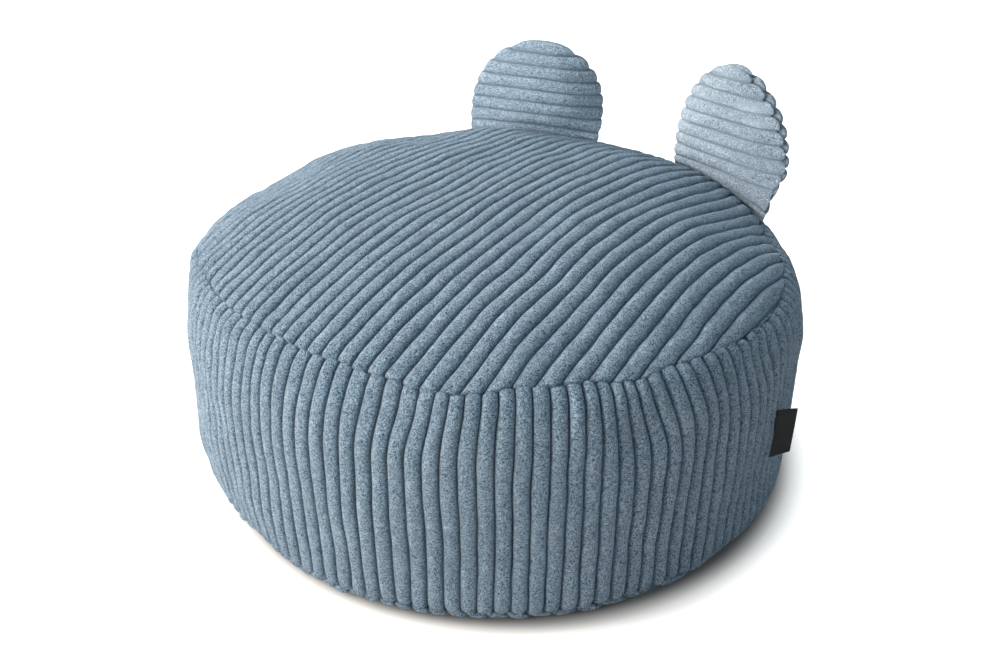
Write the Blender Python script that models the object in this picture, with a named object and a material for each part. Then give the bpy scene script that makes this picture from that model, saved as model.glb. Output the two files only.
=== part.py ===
"""Bean bag footstool with two ears, sewn from wide-rib corduroy.

Metres, +Z up. The origin is on the floor under the middle of the stool. -Y is its front and the ears stand
at the back, +Y. An azimuth is in degrees from the front, anticlockwise seen from above, so +X is at 90.

The cover is a round top panel, a side band and a base panel, two ears of two panels each, and a label sewn
into the band's closing seam. Each panel is a solid that carries the filling behind it.
"""

import math
from typing import NamedTuple

import bmesh
import bpy
from mathutils import Vector

# ---------------------------------------------------------------- driving dimensions

BODY_RADIUS = 0.260  # where the side is fullest
SEAM_RADIUS = 0.240  # the seam between the top panel and the band
SEAM_HEIGHT = 0.190
CROWN_HEIGHT = 0.0411  # how far the filling lifts the middle of the top above its seam
CROWN_POWER = 3.0  # a high power is a flat middle and a steep edge
BASE_SEAM_RADIUS = 0.2515
BASE_SEAM_HEIGHT = 0.0050
BASE_FLAT_RADIUS = 0.241
PIECE_GAP = 0.0003  # between neighbouring pieces of cloth

RIBS_AROUND = 138
TOP_PITCH = 0.01215  # from rib to rib on the top panel and the ears
TOP_CREST_X = 0.0040  # the rib nearest the middle isn't quite on the middle line
RIB_RELIEF = 0.0028  # crest above valley
CLOSING_SEAM_AZIMUTH = 90.0  # the band's ends meet here, in a valley, and hold the label

EAR_SEAT = 0.0019  # an ear's foot stands this far above the seam line, on the swell of the top's edge
EAR_FOOT_HALF_THICKNESS = 0.0024  # pinched flat where it enters the seam
EAR_FOOT_SPREAD = 0.012  # it swells to its full thickness over this height
EAR_FULLEST_SHARE = 0.45  # of its height
EAR_GAP = 0.00036  # between its two panels

LABEL_LOW = 0.0655
LABEL_HIGH = 0.1100
LABEL_THICKNESS = 0.0012
LABEL_SEAT = 0.0014  # its inner edge above the bottom of the valley


class RibColumn(NamedTuple):
    """One line of points along a rib."""

    share: float  # of the pitch, from the valley
    lift: float  # of the relief


RIB_COLUMNS = (RibColumn(0.0, 0.0), RibColumn(0.28, 1.0), RibColumn(0.72, 1.0))


class Section(NamedTuple):
    """One level of the band, from the base seam up to the top seam."""

    radius: float
    height: float
    rib: float  # share of the full rib, which is drawn in at a seam
    follow: float  # how far this level goes along with the top seam's wander


BAND_SECTIONS = (
    Section(BASE_SEAM_RADIUS, BASE_SEAM_HEIGHT, 0.1, 0.0),
    Section(0.2572, 0.0085, 0.8, 0.0),
    Section(0.2594, 0.0220, 1.0, 0.0),
    Section(0.2604, 0.0900, 1.0, 0.05),
    Section(0.2594, 0.1400, 1.0, 0.2),
    Section(0.2558, 0.1680, 1.0, 0.5),
    Section(0.2496, 0.1820, 1.0, 0.8),
    Section(SEAM_RADIUS, SEAM_HEIGHT, 0.1, 1.0),
)


class SeamPoint(NamedTuple):
    """How the filling pushes the top seam out and down, or draws it in and up."""

    azimuth: float
    out: float


SEAM_WANDER = (
    SeamPoint(8, -0.0040),
    SeamPoint(15, -0.0034),
    SeamPoint(20, 0.0012),
    SeamPoint(24, 0.0038),
    SeamPoint(29, 0.0043),
    SeamPoint(33, 0.0039),
    SeamPoint(36, 0.0000),
    SeamPoint(41, -0.0008),
    SeamPoint(46, -0.0009),
    SeamPoint(52, 0.0022),
    SeamPoint(59, 0.0033),
    SeamPoint(64, 0.0015),
    SeamPoint(70, 0.0012),
    SeamPoint(77, 0.0023),
    SeamPoint(85, 0.0037),
    SeamPoint(92, 0.0012),
    SeamPoint(102, 0.0004),
    SeamPoint(110, -0.0035),
    SeamPoint(128, 0.0014),
    SeamPoint(154, -0.0022),
    SeamPoint(180, 0.0016),
    SeamPoint(206, -0.0024),
    SeamPoint(232, 0.0020),
    SeamPoint(256, -0.0026),
    SeamPoint(278, 0.0012),
    SeamPoint(296, -0.0020),
    SeamPoint(312, 0.0068),
    SeamPoint(320, 0.0022),
    SeamPoint(326, -0.0030),
    SeamPoint(336, -0.0042),
    SeamPoint(349, -0.0051),
    SeamPoint(359, -0.0061),
)
SEAM_DROP_PER_OUT = 0.6


class Bulge(NamedTuple):
    """A soft swelling or hollow in the band."""

    azimuth: float
    height: float
    half_azimuth: float
    half_height: float
    out: float


BAND_BULGES = (
    Bulge(21, 0.168, 6.5, 0.018, -0.0040),
    Bulge(57, 0.160, 4.5, 0.024, -0.0052),
    Bulge(40, 0.105, 18, 0.060, 0.0012),
    Bulge(68, 0.150, 7, 0.030, 0.0028),
    Bulge(84, 0.168, 5, 0.018, -0.0028),
    Bulge(150, 0.120, 16, 0.040, 0.0018),
    Bulge(172, 0.160, 6, 0.022, -0.0034),
    Bulge(200, 0.090, 20, 0.050, -0.0016),
    Bulge(232, 0.158, 6, 0.024, -0.0036),
    Bulge(262, 0.140, 10, 0.030, -0.0022),
    Bulge(316, 0.150, 6, 0.024, -0.0030),
)


class Lump(NamedTuple):
    """A soft swelling or hollow in the top."""

    x: float
    y: float
    radius: float
    up: float


CROWN_LUMPS = (
    Lump(-0.112, 0.160, 0.065, 0.0031),
    Lump(-0.045, -0.020, 0.040, -0.0016),
    Lump(0.030, 0.040, 0.045, 0.0014),
    Lump(0.110, -0.060, 0.060, 0.0010),
)


class Ear(NamedTuple):
    """Where an ear stands on the top seam, its size and how it has settled. Angles are in degrees."""

    name: str
    azimuth: float
    height: float
    half_width: float
    widest_at: float
    squareness: float  # 2 is an ellipse above the widest place
    taper: float  # how much narrower the foot is, as a share
    inner_puff: float
    outer_puff: float
    lean: float  # outward
    roll: float  # towards greater azimuth
    twist: float  # about the upright
    curl: float  # the tip back over the seat, as a share of the height
    drop: float  # how far the foot of its outline lies below the seam line


EARS = (
    # on the viewer's right, seen from the front
    Ear("right_ear", 150.5, 0.1180, 0.0705, 0.030, 1.95, 0.10, 0.0110, 0.0250, 4.9, -0.3, -4.9, 0.105, 0.0050),
    Ear("left_ear", 205.0, 0.1035, 0.0686, 0.027, 2.25, 0.08, 0.0105, 0.0190, 2.2, -1.4, 2.3, 0.010, 0.0009),
)


class Strip(NamedTuple):
    """The label's run out of the band: its distance from the wall, and how it rises and sways on the way."""

    out: float
    low_rise: float
    high_rise: float
    back: float


LABEL_STRIPS = (
    Strip(0.0000, 0.0000, 0.0000, 0.0000),
    Strip(0.0038, 0.0026, 0.0015, 0.0002),
    Strip(0.0085, 0.0066, 0.0039, 0.0006),
    Strip(0.0156, 0.0120, 0.0071, 0.0002),
)


class Cloth(NamedTuple):
    """A material's plain look."""

    colour: tuple
    roughness: float


CORDUROY = Cloth((0.205, 0.290, 0.375, 1.0), 0.95)
WOVEN_TAPE = Cloth((0.012, 0.012, 0.013, 1.0), 0.7)

# ---------------------------------------------------------------- shape functions


def smoothstep(share):
    share = min(max(share, 0.0), 1.0)
    return share * share * (3 - 2 * share)


def read_around(table, azimuth):
    """Reads a table of (azimuth, value) rows as a smooth curve that closes on itself."""
    count = len(table)
    azimuth %= 360.0
    after = next((i for i, row in enumerate(table) if row[0] > azimuth), 0)
    rows = [table[(after + step) % count] for step in (-2, -1, 0, 1)]
    angles = [row[0] for row in rows]
    angles[1] = azimuth - (azimuth - angles[1]) % 360.0
    angles[0] = angles[1] - (angles[1] - angles[0]) % 360.0
    angles[2] = angles[1] + (angles[2] - angles[1]) % 360.0
    angles[3] = angles[2] + (angles[3] - angles[2]) % 360.0
    values = [row[1] for row in rows]
    span = angles[2] - angles[1]
    slope_low = (values[2] - values[0]) / (angles[2] - angles[0]) * span
    slope_high = (values[3] - values[1]) / (angles[3] - angles[1]) * span
    t = (azimuth - angles[1]) / span
    return (
        values[1] * (2 * t**3 - 3 * t**2 + 1)
        + slope_low * (t**3 - 2 * t**2 + t)
        + values[2] * (3 * t**2 - 2 * t**3)
        + slope_high * (t**3 - t**2)
    )


def polar(azimuth, radius, height):
    angle = math.radians(azimuth)
    return Vector((radius * math.sin(angle), -radius * math.cos(angle), height))


def azimuth_of(x, y):
    return math.degrees(math.atan2(x, -y)) % 360.0


def azimuth_between(a, b):
    return (a - b + 180.0) % 360.0 - 180.0


def top_seam(azimuth):
    """Radius and height of the seam between the top panel and the band."""
    out = read_around(SEAM_WANDER, azimuth)
    return SEAM_RADIUS + out, SEAM_HEIGHT - SEAM_DROP_PER_OUT * out


def band_bulge(azimuth, height):
    return sum(
        bulge.out
        * math.exp(
            -((azimuth_between(azimuth, bulge.azimuth) / bulge.half_azimuth) ** 2)
            - ((height - bulge.height) / bulge.half_height) ** 2
        )
        for bulge in BAND_BULGES
    )


def band_point(azimuth, section, lift):
    """A point of the band's outside; lift is its share of the rib's relief."""
    if section.height == SEAM_HEIGHT:
        return polar(azimuth, *top_seam(azimuth))
    wander = read_around(SEAM_WANDER, azimuth) * section.follow
    bulge = band_bulge(azimuth, section.height) if section.height > BASE_SEAM_HEIGHT else 0.0
    radius = section.radius + bulge - RIB_RELIEF * section.rib * (1.0 - lift)
    return polar(azimuth, radius + wander, section.height - SEAM_DROP_PER_OUT * wander)


def crown_height(x, y):
    """Height of the top panel's smooth crown."""
    radius, seam_height = top_seam(azimuth_of(x, y))
    share = min(math.hypot(x, y) / radius, 1.0)
    lumps = sum(
        lump.up * math.exp(-((x - lump.x) ** 2 + (y - lump.y) ** 2) / lump.radius**2)
        for lump in CROWN_LUMPS
    )
    edge = 1.0 - share**CROWN_POWER
    return SEAM_HEIGHT + (seam_height - SEAM_HEIGHT) * share**6 + (CROWN_HEIGHT + lumps) * edge


def ear_half_width(ear, height):
    """The ear's outline: round above its widest level, drawn in a little below it."""
    if height < ear.widest_at:
        return ear.half_width * (1.0 - ear.taper * ((ear.widest_at - height) / ear.widest_at) ** 2)
    share = min((height - ear.widest_at) / (ear.height - ear.widest_at), 1.0)
    return ear.half_width * (1.0 - share**ear.squareness) ** (1.0 / ear.squareness)


def ear_thickness(ear, face, height):
    """How far one panel swells out of the sheet between the two, on the ear's middle line."""
    level = height / ear.height
    swell = 0.10 + 0.90 * math.sin(min(level / EAR_FULLEST_SHARE, 1.0) * math.pi / 2)
    above = max(level - EAR_FULLEST_SHARE, 0.0) / (1.0 - EAR_FULLEST_SHARE)
    full = (ear.outer_puff if face > 0 else ear.inner_puff) * swell * math.sqrt(max(0.0, 1.0 - above**2.4))
    spread = smoothstep((height - ear.drop - EAR_SEAT) / EAR_FOOT_SPREAD)
    return min(full, EAR_FOOT_HALF_THICKNESS) + max(full - EAR_FOOT_HALF_THICKNESS, 0.0) * spread


# ---------------------------------------------------------------- mesh helpers


def material(name, cloth):
    made = bpy.data.materials.new(name)
    made.use_nodes = True
    shader = made.node_tree.nodes["Principled BSDF"]
    shader.inputs["Base Color"].default_value = cloth.colour
    shader.inputs["Roughness"].default_value = cloth.roughness
    shader.inputs["Metallic"].default_value = 0.0
    made.diffuse_color = cloth.colour
    return made


def finish_object(name, mesh, cloth, sharp_degrees=35.0):
    """Turns a bmesh into a named object with its own material."""
    bmesh.ops.recalc_face_normals(mesh, faces=mesh.faces)
    data = bpy.data.meshes.new(name)
    mesh.to_mesh(data)
    mesh.free()
    data.shade_smooth()
    data.set_sharp_from_angle(angle=math.radians(sharp_degrees))
    data.materials.append(material(name, cloth))
    made = bpy.data.objects.new(name, data)
    bpy.context.scene.collection.objects.link(made)
    return made


def bridge_rows(mesh, low, high, closed):
    """Quads between two rows of as many vertices."""
    count = len(low)
    for i in range(count if closed else count - 1):
        j = (i + 1) % count
        mesh.faces.new((low[i], low[j], high[j], high[i]))


def fan(mesh, row, tip, closed):
    """Triangles from each edge of a row to one vertex."""
    count = len(row)
    for i in range(count if closed else count - 1):
        mesh.faces.new((row[i], row[(i + 1) % count], tip))


def rib_lines(low, high, first_valley):
    """Positions across a ribbed panel, with the lift at each, that lie inside low to high."""
    rib = math.floor((low - first_valley) / TOP_PITCH)
    lines = []
    while first_valley + rib * TOP_PITCH < high:
        for column in RIB_COLUMNS:
            position = first_valley + (rib + column.share) * TOP_PITCH
            if low < position < high:
                lines.append((position, column.lift))
        rib += 1
    return lines


def spread(count):
    """Shares from 0 to 1 that are closer together near both ends."""
    return [0.5 - 0.5 * math.cos(math.pi * i / (count - 1)) for i in range(count)]


# ---------------------------------------------------------------- side band


def side_band():
    mesh = bmesh.new()
    step = 360.0 / RIBS_AROUND
    columns = [
        (CLOSING_SEAM_AZIMUTH + (rib + column.share) * step, column.lift)
        for rib in range(RIBS_AROUND)
        for column in RIB_COLUMNS
    ]
    rows = [
        [mesh.verts.new(band_point(azimuth, section, lift)) for azimuth, lift in columns]
        for section in BAND_SECTIONS
    ]
    for low, high in zip(rows, rows[1:]):
        bridge_rows(mesh, low, high, closed=True)
    fan(mesh, rows[0], mesh.verts.new((0, 0, BASE_SEAM_HEIGHT)), closed=True)
    fan(mesh, rows[-1], mesh.verts.new((0, 0, SEAM_HEIGHT)), closed=True)
    return finish_object("side_band", mesh, CORDUROY)


# ---------------------------------------------------------------- top panel

TOP_POINTS_PER_LINE = 15
TOP_TIP_STEPS = (0.0040, 0.0011)  # the last lines before the panel's left and right tips
TOP_RIB_RUN_OUT = 0.007  # a rib sinks into the seam over this length


def seam_y(x, side):
    """The y at which the line x = const crosses the top seam; side is -1 at the front and 1 at the back."""
    y = side * math.sqrt(max(SEAM_RADIUS**2 - x * x, 0.0))
    for _ in range(12):
        radius = top_seam(azimuth_of(x, y))[0]
        y = side * math.sqrt(max(radius**2 - x * x, 0.0))
    return y


def top_point(x, y, lift):
    radius = top_seam(azimuth_of(x, y))[0]
    depth = radius - math.hypot(x, y)
    rib = smoothstep(depth / TOP_RIB_RUN_OUT)
    return Vector((x, y, crown_height(x, y) + PIECE_GAP - RIB_RELIEF * rib * (1.0 - lift)))


def top_panel():
    mesh = bmesh.new()
    low = -top_seam(270.0)[0]
    high = top_seam(90.0)[0]
    lines = rib_lines(low + TOP_TIP_STEPS[0], high - TOP_TIP_STEPS[0], TOP_CREST_X - TOP_PITCH / 2)
    lines = (
        [(low + step, 0.5) for step in reversed(TOP_TIP_STEPS)]
        + lines
        + [(high - step, 0.5) for step in TOP_TIP_STEPS]
    )
    rows = []
    for x, lift in lines:
        front, back = seam_y(x, -1), seam_y(x, 1)
        rows.append(
            [
                mesh.verts.new(top_point(x, front + (back - front) * share, lift))
                for share in spread(TOP_POINTS_PER_LINE)
            ]
        )
    for left, right in zip(rows, rows[1:]):
        bridge_rows(mesh, left, right, closed=False)
    left_tip = mesh.verts.new(polar(270.0, *top_seam(270.0)) + Vector((0, 0, PIECE_GAP)))
    right_tip = mesh.verts.new(polar(90.0, *top_seam(90.0)) + Vector((0, 0, PIECE_GAP)))
    fan(mesh, rows[0], left_tip, closed=False)
    fan(mesh, rows[-1], right_tip, closed=False)
    rim = [row[0] for row in rows] + [right_tip]
    rim += [row[-1] for row in reversed(rows)] + [left_tip]
    fan(mesh, rim, mesh.verts.new((0, 0, SEAM_HEIGHT + PIECE_GAP)), closed=True)
    return finish_object("top_panel", mesh, CORDUROY)


# ---------------------------------------------------------------- base panel

BASE_SIDES = 120
BASE_EDGE = (  # radius and height, from its seam with the band to the floor
    (BASE_SEAM_RADIUS, BASE_SEAM_HEIGHT - PIECE_GAP),
    (0.2485, 0.0015),
    (BASE_FLAT_RADIUS, 0.0),
)


def base_panel():
    mesh = bmesh.new()
    rows = [
        [mesh.verts.new(polar(i * 360.0 / BASE_SIDES, radius, height)) for i in range(BASE_SIDES)]
        for radius, height in BASE_EDGE
    ]
    for high, low in zip(rows, rows[1:]):
        bridge_rows(mesh, high, low, closed=True)
    mesh.faces.new(rows[0])
    mesh.faces.new(rows[-1])
    return finish_object("base_panel", mesh, CORDUROY)


# ---------------------------------------------------------------- ears

EAR_POINTS_PER_LINE = 11
EAR_RIM_SCALLOP = 0.0012  # the rim is drawn in between two ribs
EAR_TIP_STEPS = (0.0050, 0.0014)


def ear_middle(ear, across, height):
    """The sheet between an ear's two panels. Its foot follows the top seam. Also gives the outward way."""
    angle = math.radians(ear.azimuth)
    along = Vector((math.cos(angle), math.sin(angle), 0.0))
    outward = Vector((math.sin(angle), -math.cos(angle), 0.0))
    up = Vector((0.0, 0.0, 1.0))
    azimuth = ear.azimuth + math.degrees(across / SEAM_RADIUS)
    radius, seam_height = top_seam(azimuth)
    point = polar(azimuth, radius, seam_height - ear.drop)
    share = height / ear.height
    twist = math.radians(ear.twist) * min(share / 0.35, 1.0)
    point += across * (math.cos(twist) - 1.0) * along + across * math.sin(twist) * outward
    lean, roll = math.radians(ear.lean), math.radians(ear.roll)
    rise = up * math.cos(lean) + outward * math.sin(lean) + along * math.sin(roll)
    return point + height * rise - ear.curl * share**2 * ear.height * outward, outward


def ear_panel(ear, face):
    """One panel of an ear with its half of the filling. face is 1 for the outer panel and -1 for the inner."""

    def place(across, height, thickness):
        point, outward = ear_middle(ear, across, height)
        return point + outward * face * (thickness + EAR_GAP / 2)

    mesh = bmesh.new()
    foot = ear.drop + EAR_SEAT
    lines = [(foot, 0.5)]
    lines += rib_lines(foot + 0.001, ear.height - EAR_TIP_STEPS[0], foot)
    lines += [(ear.height - step, 0.5) for step in EAR_TIP_STEPS]
    rows = []
    for height, lift in lines:
        half_width = ear_half_width(ear, height) - EAR_RIM_SCALLOP * (1.0 - lift)
        half_thickness = ear_thickness(ear, face, height)
        row = []
        for share in spread(EAR_POINTS_PER_LINE):
            side = 2.0 * share - 1.0
            swell = (1.0 - min(abs(side), 1.0) ** 2.4) ** 0.6
            sunk = RIB_RELIEF * (1.0 - lift) * smoothstep(half_thickness * swell / 0.010)
            row.append(mesh.verts.new(place(side * half_width, height, max(half_thickness * swell - sunk, 0.0))))
        rows.append(row)
    for low, high in zip(rows, rows[1:]):
        bridge_rows(mesh, low, high, closed=False)
    tip = mesh.verts.new(place(0.0, ear.height, 0.0))
    fan(mesh, rows[-1], tip, closed=False)
    middle = mesh.verts.new(place(0.0, EAR_FULLEST_SHARE * ear.height, 0.0))
    rim = [row[0] for row in rows] + [tip] + [row[-1] for row in reversed(rows)]
    fan(mesh, rim, middle, closed=False)
    fan(mesh, list(reversed(rows[0])), middle, closed=False)
    side_name = "outer" if face > 0 else "inner"
    return finish_object(f"{ear.name}_{side_name}", mesh, CORDUROY)


# ---------------------------------------------------------------- label


def label():
    """The folded tape that stands out of the band's closing seam, its free edge a little higher."""
    mesh = bmesh.new()
    wall = BODY_RADIUS - RIB_RELIEF + LABEL_SEAT
    rows = []
    for strip in LABEL_STRIPS:
        ring = []
        for height in (LABEL_LOW + strip.low_rise, LABEL_HIGH + strip.high_rise):
            for half in (-0.5, 0.5):
                point = polar(CLOSING_SEAM_AZIMUTH, wall + strip.out, height)
                ring.append(point + Vector((0, strip.back + half * LABEL_THICKNESS, 0)))
        low_front, low_back, high_front, high_back = ring
        rows.append([mesh.verts.new(p) for p in (low_front, low_back, high_back, high_front)])
    for near, far in zip(rows, rows[1:]):
        bridge_rows(mesh, near, far, closed=True)
    mesh.faces.new(rows[0])
    mesh.faces.new(rows[-1])
    return finish_object("label", mesh, WOVEN_TAPE)


# ---------------------------------------------------------------- the stool


def main():
    for old in list(bpy.data.objects):
        bpy.data.objects.remove(old, do_unlink=True)
    stool = bpy.data.objects.new("footstool", None)
    bpy.context.scene.collection.objects.link(stool)
    pieces = [base_panel(), side_band(), top_panel(), label()]
    for ear in EARS:
        pieces += [ear_panel(ear, face) for face in (1, -1)]
    for piece in pieces:
        piece.parent = stool


main()
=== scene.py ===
"""The looks of the eared bean bag footstool: wide-rib plush corduroy sewn over loose filling.

Metres, +Z up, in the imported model's frame: the floor is z = 0, the front is -Y and the ears stand at +Y.
An azimuth is in degrees from the front, anticlockwise seen from above, so +X is at 90.
"""

import math
from typing import NamedTuple

import bpy
import numpy as np
from mathutils import Matrix, Vector


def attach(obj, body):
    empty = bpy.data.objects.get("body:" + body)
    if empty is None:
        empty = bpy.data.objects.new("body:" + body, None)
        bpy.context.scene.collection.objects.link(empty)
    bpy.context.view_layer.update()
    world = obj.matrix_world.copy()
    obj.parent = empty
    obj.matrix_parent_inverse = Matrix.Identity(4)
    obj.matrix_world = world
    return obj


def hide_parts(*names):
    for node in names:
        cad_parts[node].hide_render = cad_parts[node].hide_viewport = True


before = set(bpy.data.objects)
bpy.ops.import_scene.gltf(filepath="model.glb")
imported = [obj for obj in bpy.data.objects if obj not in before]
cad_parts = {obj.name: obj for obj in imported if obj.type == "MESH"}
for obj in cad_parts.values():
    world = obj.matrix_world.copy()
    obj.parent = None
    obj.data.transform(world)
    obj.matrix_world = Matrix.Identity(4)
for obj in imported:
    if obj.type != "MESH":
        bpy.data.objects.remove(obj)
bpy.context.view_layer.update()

# -------------------------------- sizes, the same as the solids'

BODY_RADIUS = 0.260
SEAM_RADIUS = 0.240
SEAM_HEIGHT = 0.190
SEAM_DROP_PER_OUT = 0.6
CROWN_HEIGHT = 0.0411
CROWN_POWER = 3.0
BASE_SEAM_RADIUS = 0.2515
RIBS_AROUND = 138
TOP_PITCH = 0.01215
TOP_CREST_X = 0.0040  # the rib nearest the middle isn't quite on the middle line
CLOSING_SEAM_AZIMUTH = 90.0

RIB_RELIEF = 0.0044  # crest above valley
RIB_RISE = 0.0013  # crest above the smooth surface that runs from seam to seam
RIB_FLATNESS = 3.2  # 2 is a round crest, more is flatter
RIB_END = 0.0027  # a rib ends in a round tip of this length at a seam
RIB_BLUNT = 3.2  # 2 is a fingertip's half circle, more is blunter
RIB_CUT = 0.0003  # the stitches run over the rounding this far from its end
SEAM_PULL = 0.0004  # the stitches pull the ground cloth in along a seam
SEAM_PULL_REACH = 0.0030
SEAM_PUFF = 0.0007  # the filling stands up a little beside a seam
SEAM_PUFF_AT = 0.0100
SEAM_PUFF_WIDTH = 0.006
BAND_TUCK = 0.0016  # behind, the top's edge stands over the band's
CAMERA_AZIMUTH = 35.0

# u runs across a rib from one valley to the next
RIB_SECTION = np.array([0.0, 0.03, 0.09, 0.19, 0.33, 0.5, 0.67, 0.81, 0.91, 0.97])


def rib_height(u, flatness=RIB_FLATNESS):
    """The rounded cross-section of a rib: 0 in the valley and 1 on the crest."""
    return (1.0 - np.abs(2.0 * u - 1.0) ** flatness) ** 0.60


# -------------------------------- tables


def table(kind, *rows):
    return tuple(kind(*row) for row in rows)


class SeamPoint(NamedTuple):
    """How far the filling pushes the top seam out, in millimetres; it sinks as it goes out."""

    azimuth: float
    out: float


SEAM_WANDER = table(
    SeamPoint,
    (-48, 6.8), (-40, 2.2), (-34, -3), (-24, -4.2), (-11, -5.1), (-1, -6.1), (8, -4), (15, -3.4),
    (20, 1.2), (24, 3.8), (29, 4.3), (33, 3.9), (36, 0), (41, -0.8), (46, -0.9), (52, 2.2), (59, 3.3),
    (64, 1.5), (70, 1.2), (77, 2.3), (85, 3.7), (94, 1.6), (103, -0.8), (112, -4.8), (120, -8.4),
    (127, -8.8), (135, -3.4), (154, -2.2), (180, 1.6), (206, -2.4), (232, 2), (256, -3.4), (270, -2.4),
    (283, 2.2), (296, -2),
)


class EdgePoint(NamedTuple):
    """Where the top seam hangs lower and where the foot spreads, in millimetres."""

    azimuth: float
    seam_sink: float
    foot_spread: float


EDGES = table(
    EdgePoint,
    (6, 0, 0), (30, 0, 0), (50, 0, 1.8), (70, 0, 1.2), (92, 0.8, 2.4), (106, 3, 2), (114, 7, 0.8),
    (122, 12, 0), (131, 12.5, 0), (145, 5, 0), (158, 0, 0), (238, 0, 0), (248, -3, 0), (259, -4.5, 0),
    (268, -1.5, 0), (277, 5, 0), (284, 4.6, 0), (293, 0, 0), (310, 0, -1), (320, 0, 1.5), (327, 0, 3.6),
    (334, 0, 0), (341, 0, -5), (349, 0, -4), (356, 0, -1.2),
)


class SwayPoint(NamedTuple):
    """How far the side ribs have slid round, in millimetres, at mid-height and at the top seam."""

    azimuth: float
    middle: float
    seam: float


SIDE_SWAY = table(
    SwayPoint,
    (-50, -1.5, 2), (-25, -1.8, -1), (-10, -2.4, -1.6), (-5, -2.9, -3.6), (0, -2.9, -1.6), (5, -3, 0.9),
    (10, -3, 1.4), (15, -3, 5.2), (20, -2.6, 5.9), (25, -2.2, 5.4), (30, -1.9, 1.7), (35, -1.7, -0.3),
    (45, -1.4, 0), (50, -0.7, -0.8), (55, 0.7, -4.6), (60, 0.8, -12.6), (65, 0.8, -11.4),
    (70, 0.7, -9.6), (75, 0.5, -8), (85, 0.3, -8.4), (95, 0, -6), (110, 0, -2), (135, 0.6, 3),
    (160, 0, 0), (185, -0.8, -3.5), (205, 0, 1), (225, 1, 5), (250, 0, -1.5), (264, -1, -3.5),
    (276, -1, 5), (288, -1.2, 10), (299, -1.4, 7),
)


class Bulge(NamedTuple):
    """A soft swelling or hollow in the side, in metres."""

    azimuth: float
    height: float
    half_azimuth: float
    half_height: float
    out: float


SIDE_BULGES = table(
    Bulge,
    (21, 0.168, 6.5, 0.018, -0.0040),
    (57, 0.160, 4.5, 0.024, -0.0052),
    (40, 0.105, 18, 0.060, 0.0012),
    (68, 0.150, 7, 0.030, 0.0028),
    (84, 0.168, 5, 0.018, -0.0028),
    (150, 0.120, 16, 0.040, 0.0018),
    (172, 0.160, 6, 0.022, -0.0034),
    (200, 0.090, 20, 0.050, -0.0016),
    (232, 0.158, 6, 0.024, -0.0036),
    (262, 0.140, 10, 0.030, -0.0022),
    (316, 0.150, 6, 0.024, -0.0030),
    (326, 0.056, 14, 0.024, 0.0018),
)


class Lump(NamedTuple):
    """A soft swelling or hollow in the top, in metres."""

    x: float
    y: float
    radius: float
    up: float


CROWN_LUMPS = table(
    Lump,
    (-0.122, 0.156, 0.062, 0.0056),
    (-0.200, 0.052, 0.040, 0.0034),
    (-0.045, -0.020, 0.040, -0.0016),
    (0.030, 0.040, 0.045, 0.0014),
    (0.110, -0.060, 0.060, 0.0010),
)


class TopSway(NamedTuple):
    """Where the top's ribs run aside: the place in metres and how far towards +X in millimetres."""

    x: float
    y: float
    radius: float
    aside: float


TOP_SWAY = table(
    TopSway,
    (-0.030, -0.028, 0.028, 2.6),
    (0.052, -0.038, 0.032, -1.6),
    (0.095, -0.140, 0.055, 2.3),
    (-0.170, -0.115, 0.042, 3.6),
    (-0.092, 0.112, 0.042, 5.4),
    (0.020, 0.162, 0.040, -3.2),
    (0.150, 0.118, 0.042, 5.4),
    (0.000, 0.052, 0.028, -1.3),
    (-0.150, 0.015, 0.030, -2.8),
    (-0.060, -0.090, 0.030, -0.9),
    (0.205, -0.020, 0.025, -1.6),
)

# -------------------------------- functions of place


def smoothstep(x):
    x = np.clip(x, 0.0, 1.0)
    return x * x * (3.0 - 2.0 * x)


def around(points, column, blur_degrees=1.6):
    """Makes a smooth periodic function of azimuth, in metres, from one column of a table in millimetres."""
    step = 0.25
    grid = np.arange(0.0, 360.0, step)
    rows = sorted((point.azimuth % 360.0, getattr(point, column)) for point in points)
    values = np.interp(grid, [r[0] for r in rows], [r[1] for r in rows], period=360.0)
    half = int(4 * blur_degrees / step)
    kernel = np.exp(-0.5 * (np.arange(-half, half + 1) * step / blur_degrees) ** 2)
    padded = np.concatenate([values[-half:], values, values[:half]])
    smooth = np.convolve(padded, kernel / kernel.sum(), mode="valid")
    return lambda azimuth: np.interp(np.asarray(azimuth) % 360.0, grid, smooth, period=360.0) / 1000.0


def ripple(points, wavelength, seed, waves=28):
    """Smooth random relief through space, about -1 to 1, with features of about half the wavelength."""
    rng = np.random.default_rng(seed)
    directions = rng.normal(size=(waves, 3))
    directions /= np.linalg.norm(directions, axis=1)[:, None]
    lengths = wavelength * rng.uniform(0.7, 1.5, waves)
    phases = rng.uniform(0, 2 * math.pi, waves)
    total = np.zeros(points.shape[:-1])
    for direction, length, phase in zip(directions, lengths, phases):
        total += np.cos(2 * math.pi / length * (points @ direction) + phase)
    return total / math.sqrt(waves)


def on_circle(azimuth, radius, height):
    angle = np.radians(azimuth)
    return np.stack([radius * np.sin(angle), -radius * np.cos(angle), height + 0 * angle], axis=-1)


seam_wander = around(SEAM_WANDER, "out")
seam_sink = around(EDGES, "seam_sink", 3.0)
foot_spread = around(EDGES, "foot_spread", 4.0)
sway_middle = around(SIDE_SWAY, "middle", 2.5)
sway_seam = around(SIDE_SWAY, "seam")


def seam_out(azimuth):
    """How far the top seam stands out, with the small gathers between the stitches."""
    ring = on_circle(azimuth, SEAM_RADIUS, 0.0)
    gathers = 0.0008 * ripple(ring, 0.034, 11) + 0.0006 * ripple(ring, 0.013, 12)
    return seam_wander(azimuth) + gathers


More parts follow.
